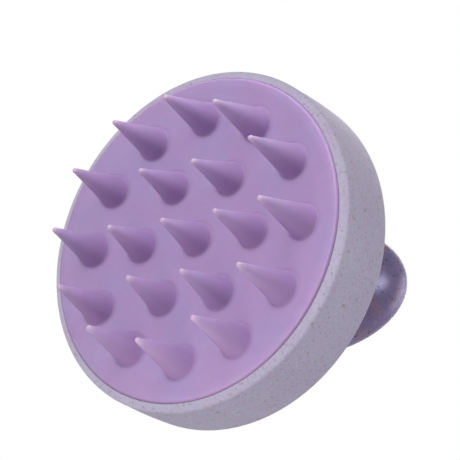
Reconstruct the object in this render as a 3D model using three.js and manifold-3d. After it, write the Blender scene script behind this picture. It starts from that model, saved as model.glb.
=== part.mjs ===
// Hand-held scalp massager brush. A silicone bristle pad on a rigid carrier plugs
// into the mouth of a drum, and an oblong grip stands on the drum's back.
// Millimetres. +Z runs along the brush's axis from the bristles to the grip,
// z = 0 is the level of the outer bristle tips, and X runs along a row of bristles.
import * as THREE from "three";
import { mergeVertices } from "three/addons/utils/BufferGeometryUtils.js";
import Module from "manifold-3d";

const wasm = await Module();
wasm.setup();

// ---- driving dimensions -------------------------------------------------
const FIT = 0.3;              // gap between faces that touch
const ROUND_STEPS = 60;       // facets around the drum

const DRUM_R = 39.2;          // widest radius of the drum, near its back
const LIP_OUTER_R = 38.6;     // drum's outside radius at the lip
const BORE_R = 36.7;          // inside radius of the drum
const LIP_Z = 14.1;           // front of the lip
const BACK_Z = 29.4;          // back rim of the drum

const PAD_R = BORE_R - FIT;   // bristle pad, which slides in the bore
const PAD_RIM_Z = 13.7;       // the pad's rim stands a little proud of the lip
const PAD_CENTRE_Z = 16.8;    // and its face is dished
const PAD_BACK_Z = 18.5;
const PAD_SKIRT_Z = 19.5;
const BRISTLE_BASE_R = 4;
const BRISTLE_TIP_R = 0.45;
const BRISTLE_RINGS = [
  { count: 1, tipRing: 0, lean: 0, tipZ: 3.6 },
  { count: 6, tipRing: 13.9, lean: 1, tipZ: 3.05 },
  { count: 12, tipRing: 26.8, lean: 1, tipZ: 0 },
];

const PEG_COUNT = 6;          // silicone pegs that hold the pad on its carrier
const PEG_RING = 20;
const PEG_R = 1.9;
const PEG_HEAD_R = 2.8;
const PEG_TOP_Z = 23.2;

const CARRIER_T = 2;
const CARRIER_R = PAD_R - 2.1;
const COLLAR_TOP_Z = 23.4;    // stiffening collar on the carrier's back

const COVER_Z = 30.2;         // flat land of the back cover
const COVER_T = 2;
const STOP_RIBS = 6;
const BEAD_Z = 26;            // snap bead of the back cover, and its groove

const GRIP_Z = 55.5;          // middle of the grip, where its halves meet
const GRIP_HALF = new THREE.Vector3(30.1, 16.5, 11.5);
const GRIP_WALL = 2.1;
const GRIP_TURN = 1.8;        // degrees from the bristle rows to the grip's long way
const NECK_ROUNDNESS = 0.78;  // the neck's Y radius over its X radius
const FOOT_R = 19;            // neck's foot, long way of its oval
const SEAT_DEPTH = 0.5;       // oval recess that the foot stands in, which stops the grip turning
const SPIGOT_Z = [53.5, 59.5];

const SCREW_X = 6.2;
const SCREW_R = 1.45;
const SCREW_HEAD_R = 2.8;
const SCREW_HEAD_T = 2;
const SCREW_END_Z = 39.5;

// ---- helpers ------------------------------------------------------------
function solid(geometry) {
  const bare = geometry.clone();
  bare.deleteAttribute("normal");
  bare.deleteAttribute("uv");
  const merged = mergeVertices(bare, 1e-4);
  const corners = merged.index.array;
  const triangles = [];
  for (let i = 0; i < corners.length; i += 3) {
    const [a, b, c] = corners.slice(i, i + 3);
    if (a !== b && b !== c && c !== a) triangles.push(a, b, c);
  }
  return new wasm.Manifold(new wasm.Mesh({
    numProp: 3,
    vertProperties: merged.attributes.position.array,
    triVerts: new Uint32Array(triangles),
  }));
}

function joined(solids) {
  return solids.reduce((whole, next) => whole.add(next));
}

// Profile points are [radius, z]. They run up the outside and down the inside.
function revolved(profile, steps = ROUND_STEPS, roundness = 1) {
  const points = profile.map(([radius, z]) => new THREE.Vector2(radius, z));
  const geometry = new THREE.LatheGeometry(points, steps);
  geometry.rotateX(Math.PI / 2);
  geometry.scale(1, roundness, 1);
  return solid(geometry);
}

function post(radius, z0, z1, x = 0, y = 0, steps = 16) {
  const geometry = new THREE.CylinderGeometry(radius, radius, z1 - z0, steps);
  geometry.rotateX(Math.PI / 2);
  geometry.translate(x, y, (z0 + z1) / 2);
  return solid(geometry);
}

function block(sizeX, sizeY, z0, z1, x = 0, y = 0, turn = 0) {
  const geometry = new THREE.BoxGeometry(sizeX, sizeY, z1 - z0);
  geometry.translate(x, y, (z0 + z1) / 2);
  geometry.rotateZ(turn);
  return solid(geometry);
}

function ellipsoid(inset) {
  const geometry = new THREE.SphereGeometry(1, 36, 18);
  geometry.rotateX(Math.PI / 2);
  geometry.scale(GRIP_HALF.x - inset, GRIP_HALF.y - inset, GRIP_HALF.z - inset);
  geometry.translate(0, 0, GRIP_Z);
  return solid(geometry);
}

function ovalPost(radiusX, radiusY, z0, z1) {
  const geometry = new THREE.CylinderGeometry(1, 1, z1 - z0, 36);
  geometry.rotateX(Math.PI / 2);
  geometry.scale(radiusX, radiusY, 1);
  geometry.translate(0, 0, (z0 + z1) / 2);
  return solid(geometry);
}

const turnOf = (index, count, start = 0) => start + (index / count) * 2 * Math.PI;
const alongGrip = (shape) => shape.rotate([0, 0, GRIP_TURN]);

function addPiece(group, name, shape, color, roughness, metalness = 0) {
  const { vertProperties, triVerts } = shape.getMesh();
  const geometry = new THREE.BufferGeometry();
  geometry.setAttribute("position", new THREE.BufferAttribute(new Float32Array(vertProperties), 3));
  geometry.setIndex(new THREE.BufferAttribute(new Uint32Array(triVerts), 1));
  geometry.computeVertexNormals();
  const mesh = new THREE.Mesh(geometry, new THREE.MeshStandardMaterial({ color, roughness, metalness }));
  mesh.name = name;
  group.add(mesh);
}

// ---- bristle pad: one silicone moulding with its bristles and pegs ------
function padFaceZ(radius) {
  const share = radius / (PAD_R - 1.5);
  return PAD_CENTRE_Z + (PAD_RIM_Z - PAD_CENTRE_Z) * share ** 2.8;
}

function bristle({ tipRing, lean, tipZ }, turn) {
  const baseZ = padFaceZ(tipRing) + 1;
  const length = baseZ - tipZ;
  const taper = [0.15, 0.4, 0.7, 1];
  const side = taper.map((share) => [
    BRISTLE_TIP_R + (BRISTLE_BASE_R - BRISTLE_TIP_R) * share ** 1.15,
    tipZ + length * share,
  ]);
  const profile = [[0, tipZ], [BRISTLE_TIP_R * 0.7, tipZ + 0.1], [BRISTLE_TIP_R * 1.2, tipZ + 0.6]];
  const geometry = new THREE.LatheGeometry(
    [...profile, ...side, [0, baseZ]].map(([radius, z]) => new THREE.Vector2(radius, z)), 12);
  geometry.rotateX(Math.PI / 2);
  const slope = lean / length;
  geometry.translate(0, 0, -tipZ);
  geometry.applyMatrix4(new THREE.Matrix4().set(1, 0, slope, 0, 0, 1, 0, 0, 0, 0, 1, 0, 0, 0, 0, 1));
  geometry.translate(tipRing, 0, tipZ);
  geometry.rotateZ(turn);
  return solid(geometry);
}

function bristlePad() {
  const face = [0, 0.35, 0.7, 0.95].map((share) => {
    const radius = share * (PAD_R - 1.5);
    return [radius, padFaceZ(radius)];
  });
  const disc = revolved([
    ...face,
    [PAD_R - 0.9, PAD_RIM_Z + 0.05],
    [PAD_R - 0.25, PAD_RIM_Z + 0.4],
    [PAD_R, PAD_RIM_Z + 1],
    [PAD_R, PAD_SKIRT_Z],
    [CARRIER_R + FIT, PAD_SKIRT_Z],
    [CARRIER_R + FIT, PAD_BACK_Z],
    [0, PAD_BACK_Z],
  ]);
  const bristles = BRISTLE_RINGS.flatMap((ring) =>
    Array.from({ length: ring.count }, (_, i) => bristle(ring, turnOf(i, ring.count))));
  const headZ = PAD_BACK_Z + 2 * FIT + CARRIER_T;
  const peg = revolved([
    [0, PAD_BACK_Z - 0.6],
    [PEG_R, PAD_BACK_Z - 0.6],
    [PEG_R, headZ],
    [PEG_HEAD_R, headZ + 0.4],
    [PEG_HEAD_R - 0.4, PEG_TOP_Z - 0.7],
    [PEG_R - 0.5, PEG_TOP_Z],
    [0, PEG_TOP_Z],
  ], 12);
  const pegs = Array.from({ length: PEG_COUNT }, (_, i) => {
    const turn = turnOf(i, PEG_COUNT, Math.PI / 6);
    return peg.translate([PEG_RING * Math.cos(turn), PEG_RING * Math.sin(turn), 0]);
  });
  return joined([disc, ...bristles, ...pegs]);
}

// ---- pad carrier: the rigid disc that the pad is buttoned onto ----------
function padCarrier() {
  const frontZ = PAD_BACK_Z + FIT;
  const plateZ = frontZ + CARRIER_T;
  const flangeZ = PAD_SKIRT_Z + FIT;
  const disc = revolved([
    [0, frontZ],
    [CARRIER_R, frontZ],
    [CARRIER_R, flangeZ],
    [PAD_R, flangeZ],
    [PAD_R, flangeZ + 1.6],
    [CARRIER_R, flangeZ + 1.6],
    [CARRIER_R - 0.4, COLLAR_TOP_Z],
    [CARRIER_R - 2.2, COLLAR_TOP_Z],
    [CARRIER_R - 2.2, plateZ],
    [0, plateZ],
  ]);
  const holes = Array.from({ length: PEG_COUNT }, (_, i) => {
    const turn = turnOf(i, PEG_COUNT, Math.PI / 6);
    return post(PEG_R + FIT, frontZ - 1, plateZ + 1,
      PEG_RING * Math.cos(turn), PEG_RING * Math.sin(turn));
  });
  const ribs = Array.from({ length: PEG_COUNT }, (_, i) =>
    block(CARRIER_R - 9, 1.4, plateZ - 0.3, plateZ + 1.4, (CARRIER_R + 6) / 2, 0, turnOf(i, PEG_COUNT)));
  const hub = post(6.5, plateZ - 0.3, plateZ + 1.4, 0, 0, 36);
  const drain = post(2.6, frontZ - 1, plateZ + 3, 0, 0, 24);
  return joined([disc, hub, ...ribs]).subtract(drain).subtract(joined(holes));
}

// ---- drum shell: wall and lip in one moulding, open at both ends --------
const BEAD_R = BORE_R + 0.2;

function drumShell() {
  return revolved([
    [BORE_R, LIP_Z + 0.3],
    [BORE_R + 0.3, LIP_Z],
    [LIP_OUTER_R - 0.15, LIP_Z + 0.7],
    [LIP_OUTER_R, LIP_Z + 0.95],
    [DRUM_R - 0.3, LIP_Z + 3.6],
    [DRUM_R - 0.1, LIP_Z + 7.2],
    [DRUM_R, BACK_Z - 4],
    [DRUM_R, BACK_Z - 1],
    [DRUM_R - 0.35, BACK_Z - 0.3],
    [DRUM_R - 1, BACK_Z],
    [BORE_R + 0.3, BACK_Z],
    [BORE_R, BACK_Z - 0.3],
    [BORE_R, BEAD_Z + 0.8],
    [BEAD_R + FIT, BEAD_Z + 0.4],
    [BEAD_R + FIT, BEAD_Z - 0.4],
    [BORE_R, BEAD_Z - 0.8],
    [BORE_R, LIP_Z + 0.3],
  ]);
}

// ---- back cover: snaps into the drum and carries the grip ---------------
const COVER_R = BORE_R - FIT;
const SKIRT_R = COVER_R - 2;

function backCover() {
  const ceilingZ = COVER_Z - COVER_T;
  const cap = revolved([
    [0, ceilingZ],
    [SKIRT_R, ceilingZ],
    [SKIRT_R, COLLAR_TOP_Z + 0.8],
    [COVER_R, COLLAR_TOP_Z + 0.8],
    [COVER_R, BEAD_Z - 0.6],
    [BEAD_R, BEAD_Z - 0.3],
    [BEAD_R, BEAD_Z + 0.3],
    [COVER_R, BEAD_Z + 0.6],
    [COVER_R, BACK_Z - 0.1],
    [COVER_R - 0.5, BACK_Z + 0.4],
    [COVER_R - 2.5, COVER_Z],
    [0, COVER_Z],
  ]);
  const ribLength = SKIRT_R - 23.5;
  const ribs = Array.from({ length: STOP_RIBS }, (_, i) =>
    block(ribLength + 0.5, 1.6, COLLAR_TOP_Z + FIT, ceilingZ + 0.3,
      23.5 + ribLength / 2, 0, turnOf(i, STOP_RIBS, Math.PI / 6)));
  const boss = ovalPost(SCREW_X + 5, 5.4, ceilingZ - 1, ceilingZ + 0.3);
  const seat = ovalPost(FOOT_R + FIT, FOOT_R * NECK_ROUNDNESS + FIT, COVER_Z - SEAT_DEPTH, COVER_Z + 1);
  const screwHoles = [-SCREW_X, SCREW_X].map((x) => post(SCREW_R + FIT, ceilingZ - 3, COVER_Z + 1, x));
  return joined([cap, alongGrip(boss), ...ribs]).subtract(alongGrip(joined([seat, ...screwHoles])));
}

// ---- grip: lower half with the neck, upper half pressed onto it ---------
const FOOT_Z = COVER_Z - SEAT_DEPTH + FIT;

function gripLower() {
  const neck = revolved([
    [0, FOOT_Z],
    [FOOT_R, FOOT_Z],
    [FOOT_R - 0.4, FOOT_Z + 0.6],
    [15.6, FOOT_Z + 1.5],
    [13.3, FOOT_Z + 3.2],
    [12, FOOT_Z + 5.8],
    [11.8, FOOT_Z + 8.4],
    [12.5, FOOT_Z + 11.4],
    [13.6, FOOT_Z + 13.8],
    [14.8, FOOT_Z + 16],
    [14.8, FOOT_Z + 18],
    [0, FOOT_Z + 18],
  ], 40, NECK_ROUNDNESS);
  const neckHollow = revolved([
    [0, FOOT_Z + 4],
    [9.6, FOOT_Z + 4],
    [9.4, FOOT_Z + 9],
    [11.2, FOOT_Z + 15],
    [11.2, GRIP_Z],
    [0, GRIP_Z],
  ], 28, NECK_ROUNDNESS);
  const aboveHalf = block(80, 60, GRIP_Z, GRIP_Z + 20);
  const bosses = [-SCREW_X, SCREW_X].map((x) => post(3.1, FOOT_Z + 3.5, SCREW_END_Z + 2.4, x));
  const pilots = [-SCREW_X, SCREW_X].map((x) => post(SCREW_R + FIT, FOOT_Z - 1, SCREW_END_Z + 0.4, x));
  return ellipsoid(0).add(neck)
    .subtract(ellipsoid(GRIP_WALL)).subtract(neckHollow).subtract(aboveHalf)
    .add(joined(bosses)).subtract(joined(pilots));
}

function gripUpper() {
  const partingZ = GRIP_Z + FIT;
  const belowHalf = block(80, 60, GRIP_Z - 30, partingZ);
  const shell = ellipsoid(0).subtract(ellipsoid(GRIP_WALL)).subtract(belowHalf);
  const inset = GRIP_WALL + 1;
  const spigot = ovalPost(GRIP_HALF.x - inset, GRIP_HALF.y - inset, ...SPIGOT_Z)
    .subtract(ovalPost(GRIP_HALF.x - inset - 1.6, GRIP_HALF.y - inset - 1.6, SPIGOT_Z[0] - 1, SPIGOT_Z[1] + 1));
  return shell.add(spigot);
}

// ---- grip screws: cross-recessed pan heads, driven from inside the drum -
function gripScrew(x) {
  const seatZ = COVER_Z - COVER_T - 1 - FIT;
  const headZ = seatZ - SCREW_HEAD_T;
  const screw = revolved([
    [0, headZ],
    [SCREW_HEAD_R * 0.6, headZ + 0.15],
    [SCREW_HEAD_R * 0.92, headZ + 0.8],
    [SCREW_HEAD_R, seatZ],
    [SCREW_R, seatZ],
    [SCREW_R, SCREW_END_Z - 1.6],
    [0.3, SCREW_END_Z],
    [0, SCREW_END_Z],
  ], 14);
  const slot = block(2.6, 0.6, headZ - 1, headZ + 1);
  const cross = block(0.6, 2.6, headZ - 1, headZ + 1);
  return screw.subtract(slot).subtract(cross).translate([x, 0, 0]);
}

// ---- assembly -----------------------------------------------------------
const SILICONE = 0xa68cba;
const STRAW_PLASTIC = 0xa9a0bc;
const CARRIER_PLASTIC = 0xc9c2d2;
const STEEL = 0xb4b4b8;

const brush = new THREE.Group();
addPiece(brush, "bristle_pad", bristlePad(), SILICONE, 0.55);
addPiece(brush, "pad_carrier", padCarrier(), CARRIER_PLASTIC, 0.5);
addPiece(brush, "drum_shell", drumShell(), STRAW_PLASTIC, 0.6);
addPiece(brush, "back_cover", backCover(), STRAW_PLASTIC, 0.6);
addPiece(brush, "grip_lower", alongGrip(gripLower()), STRAW_PLASTIC, 0.25);
addPiece(brush, "grip_upper", alongGrip(gripUpper()), STRAW_PLASTIC, 0.25);
addPiece(brush, "grip_screw_left", alongGrip(gripScrew(-SCREW_X)), STEEL, 0.3, 1);
addPiece(brush, "grip_screw_right", alongGrip(gripScrew(SCREW_X)), STEEL, 0.3, 1);

export default brush;
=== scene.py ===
import math

import bmesh
import bpy
from mathutils import Matrix, Vector
from mathutils.geometry import delaunay_2d_cdt


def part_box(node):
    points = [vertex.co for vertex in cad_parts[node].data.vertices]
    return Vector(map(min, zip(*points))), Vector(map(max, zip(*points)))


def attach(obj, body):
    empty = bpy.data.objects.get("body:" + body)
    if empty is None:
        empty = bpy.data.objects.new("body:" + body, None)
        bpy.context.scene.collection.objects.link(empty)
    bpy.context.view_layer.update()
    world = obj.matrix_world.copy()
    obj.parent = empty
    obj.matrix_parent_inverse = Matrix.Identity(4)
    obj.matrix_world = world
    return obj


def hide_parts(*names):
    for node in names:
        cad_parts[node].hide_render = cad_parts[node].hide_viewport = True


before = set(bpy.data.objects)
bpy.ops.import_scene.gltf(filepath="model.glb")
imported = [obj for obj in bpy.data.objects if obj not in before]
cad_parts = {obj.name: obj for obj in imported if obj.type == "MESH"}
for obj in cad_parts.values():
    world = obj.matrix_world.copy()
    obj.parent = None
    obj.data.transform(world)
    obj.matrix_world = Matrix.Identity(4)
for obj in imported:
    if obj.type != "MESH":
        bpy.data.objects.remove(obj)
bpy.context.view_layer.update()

# ---------------------------------------------------------------------------
# Camera. The brush is looked at from below and to one side, bristles first,
# with a long lens, so the drum's wall shows on one side and the end of the
# grip behind it. The camera is turned about its own axis.
# ---------------------------------------------------------------------------
MM = 0.001
AIM = Vector((7.02, -1.92, 18.64)) * MM
DISTANCE = 290.9 * MM
AZIMUTH = math.radians(120.26)
ELEVATION = math.radians(-49.61)
ROLL = math.radians(119.38)

camera_data = bpy.data.cameras.new("camera")
camera_data.lens = 106.1
camera_data.sensor_width = 36
camera_data.clip_start = 0.01
camera = bpy.data.objects.new("camera", camera_data)
bpy.context.scene.collection.objects.link(camera)
turn = (
    Matrix.Rotation(AZIMUTH, 4, "Z")
    @ Matrix.Rotation(math.radians(90) - ELEVATION, 4, "X")
    @ Matrix.Rotation(ROLL, 4, "Z")
)
camera.matrix_world = Matrix.Translation(AIM) @ turn @ Matrix.Translation((0, 0, DISTANCE))
bpy.context.scene.camera = camera

# ---------------------------------------------------------------------------
# Studio. A pale floor at the level of the bristle tips, seen only from its
# upper side, a white surround that lights everything evenly, and soft lights:
# one in front of the bristles, one above, three for the pad, two for the grip.
# ---------------------------------------------------------------------------
FLOOR_HALF = 0.9
FLOOR_Z = -0.0002
SHARP_ANGLE = math.radians(40)
SURROUND_LEVEL = 0.68
SURROUND_STEEP = 0.32
SURROUND_MIRRORED = 0.55
STEEP_FROM = 0.8
PAD_AIM = (0, 0, 0.015)
SLANTING_PLACE = (0.115, -0.178, -0.1175)

scene = bpy.context.scene
scene.view_settings.view_transform = "Standard"


def link(material, output, socket):
    material.node_tree.links.new(output, socket)


def new_mesh_object(name, points, faces, material):
    mesh = bpy.data.meshes.new(name)
    mesh.from_pydata(points, [], faces)
    mesh.validate()
    shell = bmesh.new()
    shell.from_mesh(mesh)
    bmesh.ops.recalc_face_normals(shell, faces=shell.faces)
    shell.to_mesh(mesh)
    shell.free()
    mesh.polygons.foreach_set("use_smooth", [True] * len(mesh.polygons))
    mesh.set_sharp_from_angle(angle=SHARP_ANGLE)
    mesh.materials.append(material)
    made = bpy.data.objects.new(name, mesh)
    bpy.context.scene.collection.objects.link(made)
    return made


floor_paint = bpy.data.materials.new("studio_floor")
floor_paint.use_nodes = True
nodes = floor_paint.node_tree.nodes
nodes["Principled BSDF"].inputs["Base Color"].default_value = (0.93, 0.93, 0.94, 1)
nodes["Principled BSDF"].inputs["Roughness"].default_value = 0.8
which_side = nodes.new("ShaderNodeNewGeometry")
clear = nodes.new("ShaderNodeBsdfTransparent")
one_sided = nodes.new("ShaderNodeMixShader")
link(floor_paint, which_side.outputs["Backfacing"], one_sided.inputs[0])
link(floor_paint, nodes["Principled BSDF"].outputs[0], one_sided.inputs[1])
link(floor_paint, clear.outputs[0], one_sided.inputs[2])
link(floor_paint, one_sided.outputs[0], nodes["Material Output"].inputs["Surface"])

floor_corners = [
    (x * FLOOR_HALF, y * FLOOR_HALF, FLOOR_Z) for x, y in ((-1, -1), (1, -1), (1, 1), (-1, 1))
]
floor = new_mesh_object("studio_floor", floor_corners, [(0, 1, 2, 3)], floor_paint)
floor.visible_diffuse = False
floor.visible_glossy = False
floor.visible_transmission = False
floor.visible_shadow = False

world = bpy.data.worlds.new("white_surround")
scene.world = world
world.use_nodes = True
nodes = world.node_tree.nodes
nodes.clear()
seen = nodes.new("ShaderNodeBackground")
seen.inputs["Color"].default_value = (1, 1, 1, 1)
lighting = nodes.new("ShaderNodeBackground")
lighting.inputs["Color"].default_value = (1, 0.985, 1, 1)
direction = nodes.new("ShaderNodeSeparateXYZ")
link(world, nodes.new("ShaderNodeTexCoord").outputs["Generated"], direction.inputs[0])
steepness = nodes.new("ShaderNodeMath")
steepness.operation = "ABSOLUTE"
link(world, direction.outputs["Z"], steepness.inputs[0])
fading = nodes.new("ShaderNodeMapRange")
fading.inputs["From Max"].default_value = STEEP_FROM
fading.inputs["To Min"].default_value = SURROUND_LEVEL
fading.inputs["To Max"].default_value = SURROUND_STEEP
link(world, steepness.outputs[0], fading.inputs["Value"])
link(world, fading.outputs["Result"], lighting.inputs["Strength"])
mirrored = nodes.new("ShaderNodeBackground")
mirrored.inputs["Strength"].default_value = SURROUND_MIRRORED
rays = nodes.new("ShaderNodeLightPath")
lit_or_mirrored = nodes.new("ShaderNodeMixShader")
pick = nodes.new("ShaderNodeMixShader")
surround_output = nodes.new("ShaderNodeOutputWorld")
link(world, rays.outputs["Is Glossy Ray"], lit_or_mirrored.inputs[0])
link(world, lighting.outputs[0], lit_or_mirrored.inputs[1])
link(world, mirrored.outputs[0], lit_or_mirrored.inputs[2])
link(world, rays.outputs["Is Camera Ray"], pick.inputs[0])
link(world, lit_or_mirrored.outputs[0], pick.inputs[1])
link(world, seen.outputs[0], pick.inputs[2])
link(world, pick.outputs[0], surround_output.inputs["Surface"])


def soft_light(name, place, aim, size, watts, color, shadow=True):
    data = bpy.data.lights.new(name, "AREA")
    data.shape = "DISK"
    data.size = size
    data.energy = watts
    data.color = color
    data.use_shadow = shadow
    lamp = bpy.data.objects.new(name, data)
    bpy.context.scene.collection.objects.link(lamp)
    lamp.visible_camera = False
    lamp.location = place
    lamp.rotation_euler = (Vector(aim) - Vector(place)).to_track_quat("-Z", "Y").to_euler()
    return lamp


def light_only(lamp, pieces):
    """Keeps a light to the named pieces."""
    lit = bpy.data.collections.new(lamp.name + "_lights")
    for piece in pieces:
        lit.objects.link(piece)
    lamp.light_linking.receiver_collection = lit


soft_light("front_light", (0, 0, -0.60), PAD_AIM, 0.3, 1.28, (1, 0.99, 0.98))
slanting_light = soft_light(
    "slanting_light", SLANTING_PLACE, PAD_AIM, 0.12, 0.38, (1, 1, 0.96), shadow=False,
)
shading_light = soft_light("shading_light", SLANTING_PLACE, PAD_AIM, 0.3, 0.15, (1, 1, 0.96))
low_light = soft_light(
    "low_light", (0.024, 0.078, -0.010), (0.004, 0.025, 0.012), 0.07, 0.025, (1, 0.95, 0.82),
)
soft_light("top_light", (-0.10, -0.22, 0.50), (0, 0, 0.03), 0.4, 1.0, (1, 1, 1))
rim_light = soft_light(
    "rim_light", (0.27, 0.02, 0.28), (0.02, 0, 0.05), 0.4, 0.9, (0.93, 0.88, 1),
)
grip_glint = soft_light(
    "grip_glint", (0.228, -0.016, -0.172), (0.027, 0.002, 0.05), 0.14, 0.6, (0.74, 0.74, 1),
)
grip_glint.visible_diffuse = False

# ---------------------------------------------------------------------------
# Bristle pad. One moulding in purple silicone rubber: a dished round face with
# one bristle in the middle, a ring of six and a ring of twelve, a rounded rim
# that fits the drum's mouth, and button pegs that pull through the carrier.
# ---------------------------------------------------------------------------
_, pad_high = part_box("bristle_pad")
PAD_R = 36.66 * MM
PAD_STEPS = 192
FACE_R = PAD_R - 0.7 * MM
FACE_RIM_Z = 13.65 * MM
FACE_DEPTH = 3.1 * MM
FACE_CURVE = 1.4
SKIRT_Z = 19.5 * MM
PAD_BACK_Z = 18.5 * MM
PAD_BACK_R = 34.6 * MM
MESH_SPACING = 1.5 * MM
BACK_SPACING = 2.5 * MM
ROW_SPACING = 0.866
BRISTLE_STEPS = 40
FOOT_STEPS = 5
SIDE_STEPS = 22
TIP_STEPS = 5
LEVELLING = 0.25
BRISTLE_BASE_R = 3.8 * MM
BRISTLE_TIP_R = 0.6 * MM
BRISTLE_FOOT = 0.45 * MM
# Width of the band of face round each root that fades into the painted shade at the root.
ROOT_SHADE_BAND = 0.8 * MM
BRISTLE_TAPER = 1.05
BRISTLE_RINGS = (
    {"count": 1, "tip_ring": 0.0, "base_ring": 0.0, "tip_z": 3.6},
    {"count": 6, "tip_ring": 13.9, "base_ring": 14.9, "tip_z": 3.05},
    {"count": 12, "tip_ring": 26.8, "base_ring": 27.8, "tip_z": 0.0},
)
PEG_COUNT = 6
PEG_RING = 20 * MM
PEG_R = 1.9 * MM
PEG_HEAD_R = 2.8 * MM
PEG_STEPS = 24
RIM_ARC = 15
RIM_ARC_STEPS = 6


def circle(x, y, radius, steps):
    turns = (2 * math.pi * step / steps for step in range(steps))
    return [(x + radius * math.cos(t), y + radius * math.sin(t)) for t in turns]


def smooth_share(value):
    share = min(max(value, 0.0), 1.0)
    return share * share * (3 - 2 * share)


# A point's rise runs from 0 to 1 up a bristle. Off the bristles it names the place.
# IN_SHADED_CREASE marks the pad's rim below the face, which is painted darker as shade in the crease
# against the drum's lip.
IN_SHADED_CREASE = -2.0
ON_FACE = -1.0
# AT_ROOT lies partway into the painted root shade, so the face darkens as it nears each bristle.
AT_ROOT = -0.4


class Skin:
    """Points, faces and each point's rise, gathered ring by ring for one moulding."""

    def __init__(self):
        self.points = []
        self.faces = []
        self.rise = []

    def ring(self, points, rise=ON_FACE):
        start = len(self.points)
        self.points.extend(points)
        self.rise.extend([rise] * len(points))
        return list(range(start, len(self.points)))

    def bridge(self, near, far):
        count = len(near)
        for k in range(count):
            after = (k + 1) % count
            self.faces.append((near[k], near[after], far[after], far[k]))

    def close(self, ring, tip):
        index = len(self.points)
        self.points.append(tip)
        self.rise.append(self.rise[ring[0]])
        for k, corner in enumerate(ring):
            self.faces.append((corner, ring[(k + 1) % len(ring)], index))


def sheet_with_holes(skin, rim, holes, height, spacing):
    """A curved disc inside the rim with round holes in it. Returns the rims' rings."""
    flat = list(rim)
    loops = [range(len(flat))]
    for x, y, radius, steps in holes:
        start = len(flat)
        flat.extend(circle(x, y, radius, steps))
        loops.append(range(start, len(flat)))
    rim_r = math.hypot(*rim[0])
    rows = int(rim_r / (spacing * ROW_SPACING)) + 1
    for row in range(-rows, rows + 1):
        for column in range(-rows - 2, rows + 3):
            x = (column + 0.5 * (row % 2)) * spacing
            y = row * spacing * ROW_SPACING
            inside = math.hypot(x, y) < rim_r - 0.7 * spacing
            clear = (math.hypot(x - hx, y - hy) > hr + 0.6 * spacing for hx, hy, hr, _ in holes)
            if inside and all(clear):
                flat.append((x, y))
    edges = [(loop[k], loop[(k + 1) % len(loop)]) for loop in loops for k in range(len(loop))]
    found, _, triangles, origins, _, _ = delaunay_2d_cdt([Vector(p) for p in flat], edges, [], 0, 1e-9)
    placed = skin.ring([(p.x, p.y, height(p.x, p.y)) for p in found])
    where = {old: placed[new] for new, olds in enumerate(origins) for old in olds}
    for triangle in triangles:
        middle = sum((found[k] for k in triangle), Vector((0, 0))) / 3
        if all((middle - Vector((hx, hy))).length > hr * 0.995 for hx, hy, hr, _ in holes):
            skin.faces.append(tuple(placed[k] for k in triangle))
    return [[where[k] for k in loop] for loop in loops]


def face_z(x, y):
    share = (x * x + y * y) / (FACE_R * FACE_R)
    return FACE_RIM_Z + FACE_DEPTH * (1 - share ** FACE_CURVE)


def bristle_outline(length):
    """[distance out from the face, radius] from the foot's fillet to the rounded tip."""
    outline = []
    for step in range(1, FOOT_STEPS + 1):
        angle = math.radians(90) * step / FOOT_STEPS
        out = BRISTLE_FOOT * (1 - math.cos(angle))
        extra = BRISTLE_FOOT * (1 - math.sin(angle))
        outline.append((out, extra))
    tip_start = length - BRISTLE_TIP_R
    for step in range(1, SIDE_STEPS + 1):
        outline.append((BRISTLE_FOOT + (tip_start - BRISTLE_FOOT) * step / SIDE_STEPS, 0.0))
    shaped = []
    for out, extra in outline:
        share = 1 - out / tip_start
        radius = BRISTLE_TIP_R + (BRISTLE_BASE_R - BRISTLE_TIP_R) * max(share, 0) ** BRISTLE_TAPER
        shaped.append((out, radius + extra))
    for step in range(1, TIP_STEPS):
        angle = math.radians(90) * step / TIP_STEPS
        shaped.append((tip_start + BRISTLE_TIP_R * math.sin(angle), BRISTLE_TIP_R * math.cos(angle)))
    return shaped


def raise_bristle(skin, foot, base, tip):
    """Carries the hole's ring out along the bristle to its tip."""
    root_z = face_z(*base)
    length = root_z - tip.z
    root = circle(*base, BRISTLE_BASE_R + BRISTLE_FOOT, BRISTLE_STEPS)
    near = skin.ring([(px, py, face_z(px, py)) for px, py in root], AT_ROOT)
    skin.bridge(foot, near)
    for out, radius in bristle_outline(length):
        lean = out / length
        x = base[0] + (tip.x - base[0]) * lean
        y = base[1] + (tip.y - base[1]) * lean
        level = smooth_share(out / (LEVELLING * length))
        ring = [
            (px, py, (1 - level) * face_z(px, py) + level * root_z - out)
            for px, py in circle(x, y, radius, BRISTLE_STEPS)
        ]
        far = skin.ring(ring, lean)
        skin.bridge(near, far)
        near = far
    skin.close(near, tuple(tip))


def raise_peg(skin, foot, x, y):
    head_z = PAD_BACK_Z + 2.6 * MM
    outline = (
        (PAD_BACK_Z + 0.3 * MM, PEG_R), (head_z, PEG_R), (head_z + 0.15 * MM, PEG_HEAD_R),
        (head_z + 0.6 * MM, PEG_HEAD_R), (head_z + 1.6 * MM, PEG_HEAD_R - 0.7 * MM),
        (pad_high.z - 0.1 * MM, PEG_HEAD_R - 1.4 * MM),
    )
    near = foot
    for z, radius in outline:
        far = skin.ring([(px, py, z) for px, py in circle(x, y, radius, len(foot))])
        skin.bridge(near, far)
        near = far
    skin.close(near, (x, y, pad_high.z))


bristles = []
for ring in BRISTLE_RINGS:
    for index in range(ring["count"]):
        turn_by = 2 * math.pi * index / ring["count"]
        cos, sin = math.cos(turn_by), math.sin(turn_by)
        base = (ring["base_ring"] * MM * cos, ring["base_ring"] * MM * sin)
        tip = Vector((ring["tip_ring"] * cos, ring["tip_ring"] * sin, ring["tip_z"])) * MM
        bristles.append((base, tip))

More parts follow.
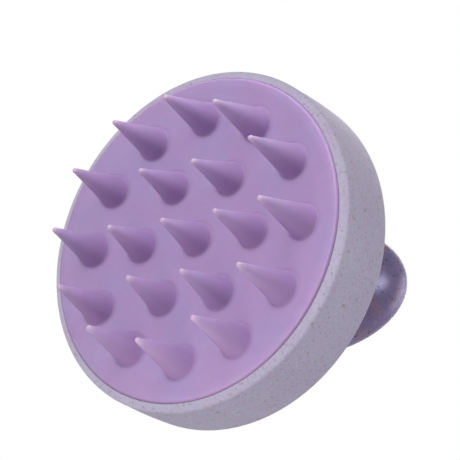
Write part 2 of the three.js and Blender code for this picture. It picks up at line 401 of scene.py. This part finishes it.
pad_skin = Skin()
foot_r = BRISTLE_BASE_R + BRISTLE_FOOT + ROOT_SHADE_BAND
face_rings = sheet_with_holes(
    pad_skin, circle(0, 0, FACE_R, PAD_STEPS),
    [(base[0], base[1], foot_r, BRISTLE_STEPS) for base, _ in bristles], face_z, MESH_SPACING,
)
for foot, (base, tip) in zip(face_rings[1:], bristles):
    raise_bristle(pad_skin, foot, base, tip)
near = face_rings[0]
rim_r = PAD_R - FACE_R
rim_outline = []
for step in range(1, RIM_ARC_STEPS + 1):
    angle = math.radians(RIM_ARC * step)
    rim_outline.append((FACE_R + rim_r * math.sin(angle), FACE_RIM_Z + rim_r * (1 - math.cos(angle))))
rim_outline += [
    (PAD_R, 16.9 * MM), (PAD_R, SKIRT_Z - 0.4 * MM), (PAD_R - 0.4 * MM, SKIRT_Z),
    (PAD_BACK_R + 0.2 * MM, SKIRT_Z), (PAD_BACK_R, SKIRT_Z - 0.2 * MM),
    (PAD_BACK_R, PAD_BACK_Z + 0.1 * MM),
]
# The rings from the third on, down the rim and over the back, take the crease's painted shade.
for step, (radius, z) in enumerate(rim_outline):
    shade = ON_FACE if step < 2 else IN_SHADED_CREASE
    far = pad_skin.ring([(x, y, z) for x, y in circle(0, 0, radius, PAD_STEPS)], shade)
    pad_skin.bridge(far, near)
    near = far
peg_turns = [math.radians(30 + 60 * k) for k in range(PEG_COUNT)]
peg_places = [(PEG_RING * math.cos(turn_by), PEG_RING * math.sin(turn_by)) for turn_by in peg_turns]
back_rings = sheet_with_holes(
    pad_skin, circle(0, 0, PAD_BACK_R - 0.1 * MM, PAD_STEPS),
    [(x, y, PEG_R + 0.3 * MM, PEG_STEPS) for x, y in peg_places],
    lambda x, y: PAD_BACK_Z, BACK_SPACING,
)
pad_skin.bridge(back_rings[0], near)
for foot, (x, y) in zip(back_rings[1:], peg_places):
    raise_peg(pad_skin, foot, x, y)


def new_material(name, roughness):
    material = bpy.data.materials.new(name)
    material.use_nodes = True
    shader = material.node_tree.nodes["Principled BSDF"]
    shader.inputs["Roughness"].default_value = roughness
    return material, material.node_tree.nodes, shader


def noise(material, scale, detail, roughness, where):
    made = material.node_tree.nodes.new("ShaderNodeTexNoise")
    made.inputs["Scale"].default_value = scale
    made.inputs["Detail"].default_value = detail
    made.inputs["Roughness"].default_value = roughness
    link(material, where, made.inputs["Vector"])
    return made.outputs["Fac"]


def stepped(material, value, low, high, out_low=0.0, out_high=1.0):
    made = material.node_tree.nodes.new("ShaderNodeMapRange")
    made.interpolation_type = "SMOOTHSTEP"
    made.inputs["From Min"].default_value = low
    made.inputs["From Max"].default_value = high
    made.inputs["To Min"].default_value = out_low
    made.inputs["To Max"].default_value = out_high
    link(material, value, made.inputs["Value"])
    return made.outputs["Result"]


def mixed(material, share, color_a, color_b):
    made = material.node_tree.nodes.new("ShaderNodeMix")
    made.data_type = "RGBA"
    link(material, share, made.inputs["Factor"])
    for socket, color in ((made.inputs["A"], color_a), (made.inputs["B"], color_b)):
        if isinstance(color, tuple):
            socket.default_value = (*color, 1)
        else:
            link(material, color, socket)
    return made.outputs["Result"]


def grained(material, shader, heights):
    """Chains bumps, each (height output, strength, distance in metres)."""
    previous = None
    for height, strength, distance in heights:
        bump = material.node_tree.nodes.new("ShaderNodeBump")
        bump.inputs["Strength"].default_value = strength
        bump.inputs["Distance"].default_value = distance
        link(material, height, bump.inputs["Height"])
        if previous is not None:
            link(material, previous, bump.inputs["Normal"])
        previous = bump.outputs["Normal"]
    link(material, previous, shader.inputs["Normal"])


silicone, nodes, shader = new_material("purple_silicone", 0.5)
place = nodes.new("ShaderNodeTexCoord").outputs["Object"]
clouds = noise(silicone, 95, 2, 0.5, place)
mottle = noise(silicone, 420, 3, 0.6, place)
pink, blue, pale = (0.375, 0.255, 0.475), (0.35, 0.262, 0.49), (0.40, 0.295, 0.53)
pink_blue = mixed(silicone, stepped(silicone, clouds, 0.35, 0.65), pink, blue)
mottled = mixed(silicone, stepped(silicone, mottle, 0.3, 0.75, 0, 0.3), pink_blue, pale)
rise_on_pad = nodes.new("ShaderNodeAttribute")
rise_on_pad.attribute_name = "rise"
rise = rise_on_pad.outputs["Fac"]
# Painted shade: each bristle is darker towards its root, standing for the shade where it meets the pad.
body = mixed(silicone, stepped(silicone, rise, 0.1, 0.9, 0.62, 0), mottled, (0.28, 0.165, 0.365))
# Painted light: the bristles turn paler towards the tip, and a painted highlight lightens each tip itself.
body = mixed(silicone, stepped(silicone, rise, 0.5, 0.98, 0, 0.2), body, (0.46, 0.33, 0.53))
body = mixed(silicone, stepped(silicone, rise, 0.84, 1, 0, 0.6), body, (0.55, 0.46, 0.56))
# The face keeps the plain mottle and fades into the painted root shade over the band round each root.
body = mixed(silicone, stepped(silicone, rise, ON_FACE, 0.1, 1, 0), body, mottled)
# Painted shade in the crease where the pad's rim meets the drum's lip.
body = mixed(silicone, stepped(silicone, rise, IN_SHADED_CREASE, ON_FACE, 0.45, 0), body, (0.24, 0.125, 0.25))
link(silicone, body, shader.inputs["Base Color"])
link(silicone, stepped(silicone, mottle, 0.2, 0.8, 0.44, 0.6), shader.inputs["Roughness"])
shader.inputs["Subsurface Weight"].default_value = 0.6
shader.inputs["Subsurface Radius"].default_value = (1.0, 0.4, 0.85)
shader.inputs["Subsurface Scale"].default_value = 0.0015
shader.inputs["Specular IOR Level"].default_value = 0.4
fine_grain = noise(silicone, 3200, 2, 0.6, place)
grained(silicone, shader, [(mottle, 0.12, 0.0002), (fine_grain, 0.15, 0.00005)])

pad = new_mesh_object("silicone_pad", pad_skin.points, pad_skin.faces, silicone)
pad.data.attributes.new("rise", "FLOAT", "POINT").data.foreach_set("value", pad_skin.rise)
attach(pad, "bristle_head")
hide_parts("bristle_pad")
for lamp in (slanting_light, shading_light, low_light):
    light_only(lamp, [pad])

# ---------------------------------------------------------------------------
# Drum shell. The wall and lip of the drum, injection moulded in one piece from
# lilac plastic filled with ground straw, matt, with brown flecks. The lip
# slopes back to the wall, and the wall widens a little towards its back.
# ---------------------------------------------------------------------------
DRUM_R = 39.2 * MM
LIP_R = 38.6 * MM
BEAD_Z = 26 * MM
LIP_Z = 14.1 * MM
BACK_Z = 29.4 * MM
BORE_R = 36.7 * MM
DRUM_STEPS = 240
WALL_STEPS = 12
ARC_STEPS = 6
LATHE_STEP = 1.2 * MM


def rounded_outline(corners, closed):
    """Corners are (radius, z, rounding). Each rounded corner becomes an arc."""
    count = len(corners)
    outline = []
    for k, (radius, z, rounding) in enumerate(corners):
        here = Vector((radius, z))
        if rounding == 0:
            outline.append(here)
            continue
        before = Vector(corners[k - 1][:2]) - here
        after = Vector(corners[(k + 1) % count][:2]) - here
        half = before.angle(after) / 2
        reach = min(rounding / math.tan(half), 0.49 * before.length, 0.49 * after.length)
        start = here + before.normalized() * reach
        end = here + after.normalized() * reach
        for step in range(ARC_STEPS + 1):
            share = step / ARC_STEPS
            bend = here * 2 * share * (1 - share)
            outline.append(start * (1 - share) ** 2 + bend + end * share ** 2)
    finer = []
    last = len(outline) if closed else len(outline) - 1
    for k in range(last):
        a, b = outline[k], outline[(k + 1) % len(outline)]
        pieces = max(1, round((b - a).length / LATHE_STEP))
        finer.extend(a.lerp(b, step / pieces) for step in range(pieces))
    if not closed:
        finer.append(outline[-1])
    return finer


def turned(skin, outline, steps, closed):
    """Revolves an outline that runs up the outside and down the inside."""
    rings = []
    for point in outline:
        if point.x < 1e-7:
            rings.append(skin.ring([(0, 0, point.y)]))
        else:
            rings.append(skin.ring([(x, y, point.y) for x, y in circle(0, 0, point.x, steps)]))
    pairs = list(zip(rings, rings[1:]))
    if closed:
        pairs.append((rings[-1], rings[0]))
    for lower, upper in pairs:
        if len(lower) == 1:
            for k in range(steps):
                skin.faces.append((lower[0], upper[(k + 1) % steps], upper[k]))
        elif len(upper) == 1:
            for k in range(steps):
                skin.faces.append((lower[k], lower[(k + 1) % steps], upper[0]))
        else:
            skin.bridge(lower, upper)


def multiplied(material, one, two):
    made = material.node_tree.nodes.new("ShaderNodeMath")
    made.operation = "MULTIPLY"
    link(material, one, made.inputs[0])
    link(material, two, made.inputs[1])
    return made.outputs[0]


def straw_plastic(name, roughness, base, pale, blush, flecks):
    """Lilac plastic with clouding, a fine grain, and ground straw in it as small flecks."""
    material, nodes, shader = new_material(name, roughness)
    place = nodes.new("ShaderNodeTexCoord").outputs["Object"]
    clouds = noise(material, 60, 3, 0.55, place)
    blotches = noise(material, 260, 2, 0.5, place)
    grain = noise(material, 1700, 3, 0.75, place)
    body = mixed(material, stepped(material, clouds, 0.3, 0.7), base, pale)
    body = mixed(material, stepped(material, blotches, 0.5, 0.72, 0, 0.6), body, blush)
    body = mixed(material, stepped(material, grain, 0.5, 0.72, 0, 0.5), body, tuple(1.2 * c for c in pale))
    body = mixed(material, stepped(material, grain, 0.48, 0.3, 0, 0.5), body, tuple(0.7 * c for c in base))
    for scale, stretch, color, amount, size, strength in flecks:
        mapping = nodes.new("ShaderNodeMapping")
        mapping.inputs["Scale"].default_value = stretch
        mapping.inputs["Rotation"].default_value = (0.5, 0.3, 0.8)
        link(material, place, mapping.inputs["Vector"])
        cells = nodes.new("ShaderNodeTexVoronoi")
        cells.inputs["Scale"].default_value = scale
        link(material, mapping.outputs["Vector"], cells.inputs["Vector"])
        lot = nodes.new("ShaderNodeSeparateColor")
        link(material, cells.outputs["Color"], lot.inputs["Color"])
        chosen = stepped(material, lot.outputs["Red"], 1 - amount, 1.03 - amount)
        core = stepped(material, cells.outputs["Distance"], size * 0.5, size, 1, 0)
        shade = stepped(material, lot.outputs["Green"], 0, 1, 0.3 * strength, strength)
        share = multiplied(material, multiplied(material, chosen, core), shade)
        body = mixed(material, share, body, color)
    link(material, body, shader.inputs["Base Color"])
    sheen = stepped(material, grain, 0.2, 0.8, roughness - 0.06, roughness + 0.08)
    link(material, sheen, shader.inputs["Roughness"])
    fine = noise(material, 2600, 2, 0.6, place)
    grained(material, shader, [(clouds, 0.1, 0.0004), (fine, roughness ** 2, 0.00003)])
    return material


matt_straw = straw_plastic(
    "straw_plastic_matt", 0.55, (0.635, 0.58, 0.775), (0.675, 0.635, 0.83), (0.675, 0.555, 0.75),
    (
        (700, (1, 1, 0.6), (0.45, 0.34, 0.30), 0.42, 0.30, 0.6),
        (950, (0.5, 1, 1), (0.50, 0.36, 0.38), 0.5, 0.34, 0.6),
        (1300, (1, 0.6, 1), (0.26, 0.22, 0.30), 0.35, 0.30, 0.5),
    ),
)

shell_skin = Skin()
shell_corners = [
    (BORE_R, LIP_Z + 0.05 * MM, 0.4 * MM), (BORE_R + 0.3 * MM, LIP_Z, 0.2 * MM),
    (LIP_R, LIP_Z + 0.75 * MM, 0.9 * MM),
]
wall_start, wall_end = LIP_Z + 2.2 * MM, BACK_Z - 1.4 * MM
for step in range(WALL_STEPS + 1):
    share = step / WALL_STEPS
    swell = 1 - (1 - share) ** 2
    wall_r = LIP_R + 0.02 * MM + (DRUM_R - LIP_R - 0.02 * MM) * swell
    shell_corners.append((wall_r, wall_start + (wall_end - wall_start) * share, 0))
shell_corners += [(DRUM_R, BACK_Z, 0.9 * MM), (BORE_R + 0.1 * MM, BACK_Z, 0.3 * MM)]
groove = ((0.8, 0), (0.4, 0.5), (-0.4, 0.5), (-0.8, 0))
for up, depth in groove:
    shell_corners.append((BORE_R + depth * MM, BEAD_Z + up * MM, 0.15 * MM))
turned(shell_skin, rounded_outline(shell_corners, True), DRUM_STEPS, True)
drum = new_mesh_object("straw_drum_wall", shell_skin.points, shell_skin.faces, matt_straw)
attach(drum, "drum_and_grip")
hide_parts("drum_shell")

# ---------------------------------------------------------------------------
# Pad carrier. A rigid disc moulded in pale lilac plastic that the silicone pad
# is buttoned onto. It has a flange behind the pad's rim, a stiffening collar
# and ribs, and a drain hole in the middle.
# ---------------------------------------------------------------------------
CARRIER_RIBS = 6

carrier_plastic, nodes, shader = new_material("carrier_plastic", 0.45)
place = nodes.new("ShaderNodeTexCoord").outputs["Object"]
flow = noise(carrier_plastic, 70, 3, 0.5, place)
flowed = mixed(carrier_plastic, flow, (0.52, 0.48, 0.60), (0.60, 0.56, 0.67))
link(carrier_plastic, flowed, shader.inputs["Base Color"])
link(carrier_plastic, stepped(carrier_plastic, flow, 0.2, 0.8, 0.38, 0.5), shader.inputs["Roughness"])
grained(carrier_plastic, shader, [(noise(carrier_plastic, 2400, 2, 0.6, place), 0.2, 0.00005)])


def radial_rib(skin, start, end, width, low_z, high_z, turn_by):
    """A straight rib standing on a disc and pointing at the middle, with drafted sides."""
    cos, sin = math.cos(turn_by), math.sin(turn_by)
    rings = []
    for z, half in ((low_z, width / 2), (high_z, width / 2 - 0.15 * MM)):
        flat = ((start, -half), (end, -half), (end, half), (start, half))
        rings.append(skin.ring([(x * cos - y * sin, x * sin + y * cos, z) for x, y in flat]))
    skin.bridge(*rings)
    skin.faces.append(tuple(rings[0][::-1]))
    skin.faces.append(tuple(rings[1]))


carrier_skin = Skin()
carrier_corners = (
    (2.6, 18.8), (34.3, 18.8), (34.3, 19.8), (36.4, 19.8), (36.4, 21.4), (34.3, 21.4),
    (33.9, 23.4), (32.1, 23.4), (32.1, 20.8), (6.5, 20.8), (6.4, 22.2), (2.6, 22.2),
)
carrier_outline = rounded_outline([(r * MM, z * MM, 0.25 * MM) for r, z in carrier_corners], True)
turned(carrier_skin, carrier_outline, PAD_STEPS, True)
for k in range(CARRIER_RIBS):
    radial_rib(
        carrier_skin, 6 * MM, 32.6 * MM, 1.4 * MM, 20.6 * MM, 22.2 * MM,
        2 * math.pi * k / CARRIER_RIBS,
    )
carrier = new_mesh_object("carrier_disc", carrier_skin.points, carrier_skin.faces, carrier_plastic)
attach(carrier, "bristle_head")
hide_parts("pad_carrier")

# ---------------------------------------------------------------------------
# Back cover. A flat-topped disc in the same straw-filled plastic that snaps
# into the back of the drum, leaving a fine seam inside the drum's back rim.
# ---------------------------------------------------------------------------
COVER_R = BORE_R - 0.3 * MM
COVER_Z = 30.2 * MM
COVER_LOW_Z = 24.3 * MM
COVER_SKIRT_R = 34.4 * MM
STOP_RIBS = 6

cover_skin = Skin()
cover_corners = [
    (0, COVER_Z - 2 * MM, 0), (COVER_SKIRT_R, COVER_Z - 2 * MM, 0.4 * MM),
    (COVER_SKIRT_R, COVER_LOW_Z, 0.3 * MM), (COVER_R, COVER_LOW_Z, 0.3 * MM),
    (COVER_R, BEAD_Z - 0.6 * MM, 0.1 * MM), (COVER_R + 0.5 * MM, BEAD_Z - 0.3 * MM, 0.1 * MM),
    (COVER_R + 0.5 * MM, BEAD_Z + 0.3 * MM, 0.1 * MM), (COVER_R, BEAD_Z + 0.6 * MM, 0.1 * MM),
    (COVER_R, BACK_Z - 0.1 * MM, 0.3 * MM), (COVER_R - 2.6 * MM, COVER_Z, 2.5 * MM), (0, COVER_Z, 0),
]
turned(cover_skin, rounded_outline(cover_corners, False), DRUM_STEPS, False)
for k in range(STOP_RIBS):
    radial_rib(
        cover_skin, 23.5 * MM, COVER_SKIRT_R + 0.3 * MM, 1.6 * MM, COVER_Z - 1.8 * MM, 23.7 * MM,
        2 * math.pi * (k + 0.5) / STOP_RIBS,
    )
cover = new_mesh_object("straw_back_cover", cover_skin.points, cover_skin.faces, matt_straw)
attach(cover, "drum_and_grip")
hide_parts("back_cover")

# ---------------------------------------------------------------------------
# Grip. Two glossy half shells of the same plastic, coloured much darker than
# the drum as painted shade from the drum: the lower one carries the oval neck
# and its flared foot, the upper one is pressed onto it, and they meet in a fine
# parting line round the widest part of the grip.
# ---------------------------------------------------------------------------
GRIP_X = 30.1 * MM
GRIP_Y = 16.5 * MM
GRIP_Z = 55.5 * MM
GRIP_UP = 11.5 * MM
GRIP_TURN = math.radians(1.8)
GRIP_STEPS = 160
FOOT_Z = 30.22 * MM
NECK_R = 11.8 * MM
NECK_ROUNDNESS = 0.78
FOOT_FLARE = 7.2 * MM
FOOT_FLARE_H = 9 * MM
TOP_FLARE = 3.4 * MM
TOP_FLARE_START = 7 * MM
TOP_FLARE_H = 11 * MM
NECK_BLEND = 5 * MM
NECK_STEPS = 34
LENGTH_STEPS = 60
PARTING = 0.04 * MM
EDGE_ROUND = 0.08 * MM
EDGE_STEPS = 4
GRIP_WALL = 2 * MM
SOCKET_DEPTH = 6 * MM

# Painted shade: the grip's plastic is a darker copy of the drum's, standing for the drum's shadow over it.
glossy_shaded_straw = straw_plastic(
    "straw_plastic_glossy_shaded", 0.34, (0.165, 0.125, 0.27), (0.20, 0.155, 0.32), (0.27, 0.155, 0.23),
    (
        (420, (1, 0.7, 1), (0.30, 0.19, 0.29), 0.40, 0.38, 0.6),
        (600, (1, 1, 0.6), (0.17, 0.08, 0.07), 0.45, 0.34, 0.85),
        (850, (0.6, 1, 1), (0.05, 0.035, 0.06), 0.42, 0.34, 0.85),
    ),
)
gloss = glossy_shaded_straw.node_tree.nodes["Principled BSDF"]
gloss.inputs["Coat Weight"].default_value = 0.4
gloss.inputs["Coat Roughness"].default_value = 0.36


def blended(a, b, reach):
    near = max(reach - abs(a - b), 0) / reach
    return max(a, b) + near * near * reach / 4


def lower_radii(z):
    """X and Y radius of the grip's lower half and neck at height z."""
    drop = (GRIP_Z - z) / GRIP_UP
    swell = math.sqrt(max(0.0, 1 - drop * drop))
    foot_share = max(0.0, 1 - (z - FOOT_Z) / FOOT_FLARE_H)
    top_share = smooth_share((z - FOOT_Z - TOP_FLARE_START) / TOP_FLARE_H)
    neck = NECK_R + FOOT_FLARE * foot_share ** 3 + TOP_FLARE * top_share
    radius_x = blended(GRIP_X * swell, neck, NECK_BLEND)
    radius_y = blended(GRIP_Y * swell, neck * NECK_ROUNDNESS, NECK_BLEND)
    return radius_x, radius_y


def oval(skin, radius_x, radius_y, z):
    cos, sin = math.cos(GRIP_TURN), math.sin(GRIP_TURN)
    around = [(radius_x * x, radius_y * y) for x, y in circle(0, 0, 1, GRIP_STEPS)]
    return skin.ring([(x * cos - y * sin, x * sin + y * cos, z) for x, y in around])


def stacked(skin, sections):
    """Joins oval sections (radius x, radius y, z) and closes both ends."""
    rings = [oval(skin, *section) for section in sections]
    for lower, upper in zip(rings, rings[1:]):
        skin.bridge(lower, upper)
    skin.close(rings[-1], (0, 0, sections[-1][2]))
    skin.close(rings[0][::-1], (0, 0, sections[0][2]))


neck_top = GRIP_Z - GRIP_UP * 0.985
heights = [
    FOOT_Z + (neck_top - FOOT_Z) * (step / NECK_STEPS) ** 1.15 for step in range(NECK_STEPS + 1)
]
for step in range(1, LENGTH_STEPS + 1):
    heights.append(GRIP_Z - GRIP_UP * math.cos(math.radians(10 + 80 * step / LENGTH_STEPS)))
foot_rx, foot_ry = lower_radii(FOOT_Z)
lower_sections = [(foot_rx - EDGE_ROUND, foot_ry - EDGE_ROUND, FOOT_Z)]
lower_end = GRIP_Z - EDGE_ROUND - 0.05 * MM
lower_sections += [(*lower_radii(z), z) for z in heights[1:] if z < lower_end]
for step in range(EDGE_STEPS + 1):
    angle = math.radians(90 * step / EDGE_STEPS)
    inset = EDGE_ROUND * (1 - math.cos(angle))
    up = EDGE_ROUND * math.sin(angle)
    lower_sections.append((GRIP_X - inset, GRIP_Y - inset, GRIP_Z - EDGE_ROUND + up))
lower_sections += [
    (GRIP_X - GRIP_WALL, GRIP_Y - GRIP_WALL, GRIP_Z),
    (GRIP_X - GRIP_WALL - 2 * MM, GRIP_Y - GRIP_WALL - 2 * MM, GRIP_Z - SOCKET_DEPTH),
]
lower_skin = Skin()
stacked(lower_skin, lower_sections)
grip_lower = new_mesh_object("glossy_grip_lower", lower_skin.points, lower_skin.faces, glossy_shaded_straw)
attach(grip_lower, "drum_and_grip")
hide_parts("grip_lower")

upper_skin = Skin()
upper_sections = [(GRIP_X - GRIP_WALL, GRIP_Y - GRIP_WALL, GRIP_Z + PARTING)]
for step in range(EDGE_STEPS + 1):
    angle = math.radians(90 * step / EDGE_STEPS)
    inset = EDGE_ROUND * (1 - math.sin(angle))
    up = EDGE_ROUND * (1 - math.cos(angle))
    upper_sections.append((GRIP_X - inset, GRIP_Y - inset, GRIP_Z + PARTING + up))
for step in range(1, LENGTH_STEPS):
    angle = math.radians(90 * step / LENGTH_STEPS)
    z = GRIP_Z + GRIP_UP * math.sin(angle)
    if z > GRIP_Z + PARTING + EDGE_ROUND:
        upper_sections.append((GRIP_X * math.cos(angle), GRIP_Y * math.cos(angle), z))
stacked(upper_skin, upper_sections)
grip_upper = new_mesh_object("glossy_grip_upper", upper_skin.points, upper_skin.faces, glossy_shaded_straw)
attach(grip_upper, "drum_and_grip")
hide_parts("grip_upper")
for lamp in (rim_light, grip_glint):
    light_only(lamp, [grip_lower, grip_upper])

# ---------------------------------------------------------------------------
# Grip screws. Two zinc-plated self-tapping screws with cross-recessed pan
# heads, driven through the back cover into the neck from inside the drum.
# ---------------------------------------------------------------------------
zinc, nodes, shader = new_material("zinc_plated_steel", 0.3)
place = nodes.new("ShaderNodeTexCoord").outputs["Object"]
shader.inputs["Metallic"].default_value = 1
scuffs = noise(zinc, 900, 4, 0.6, place)
link(zinc, mixed(zinc, scuffs, (0.55, 0.56, 0.58), (0.68, 0.67, 0.62)), shader.inputs["Base Color"])
link(zinc, stepped(zinc, scuffs, 0.2, 0.8, 0.22, 0.45), shader.inputs["Roughness"])
for name in ("grip_screw_left", "grip_screw_right"):
    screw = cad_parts[name]
    screw.data.materials.clear()
    screw.data.materials.append(zinc)
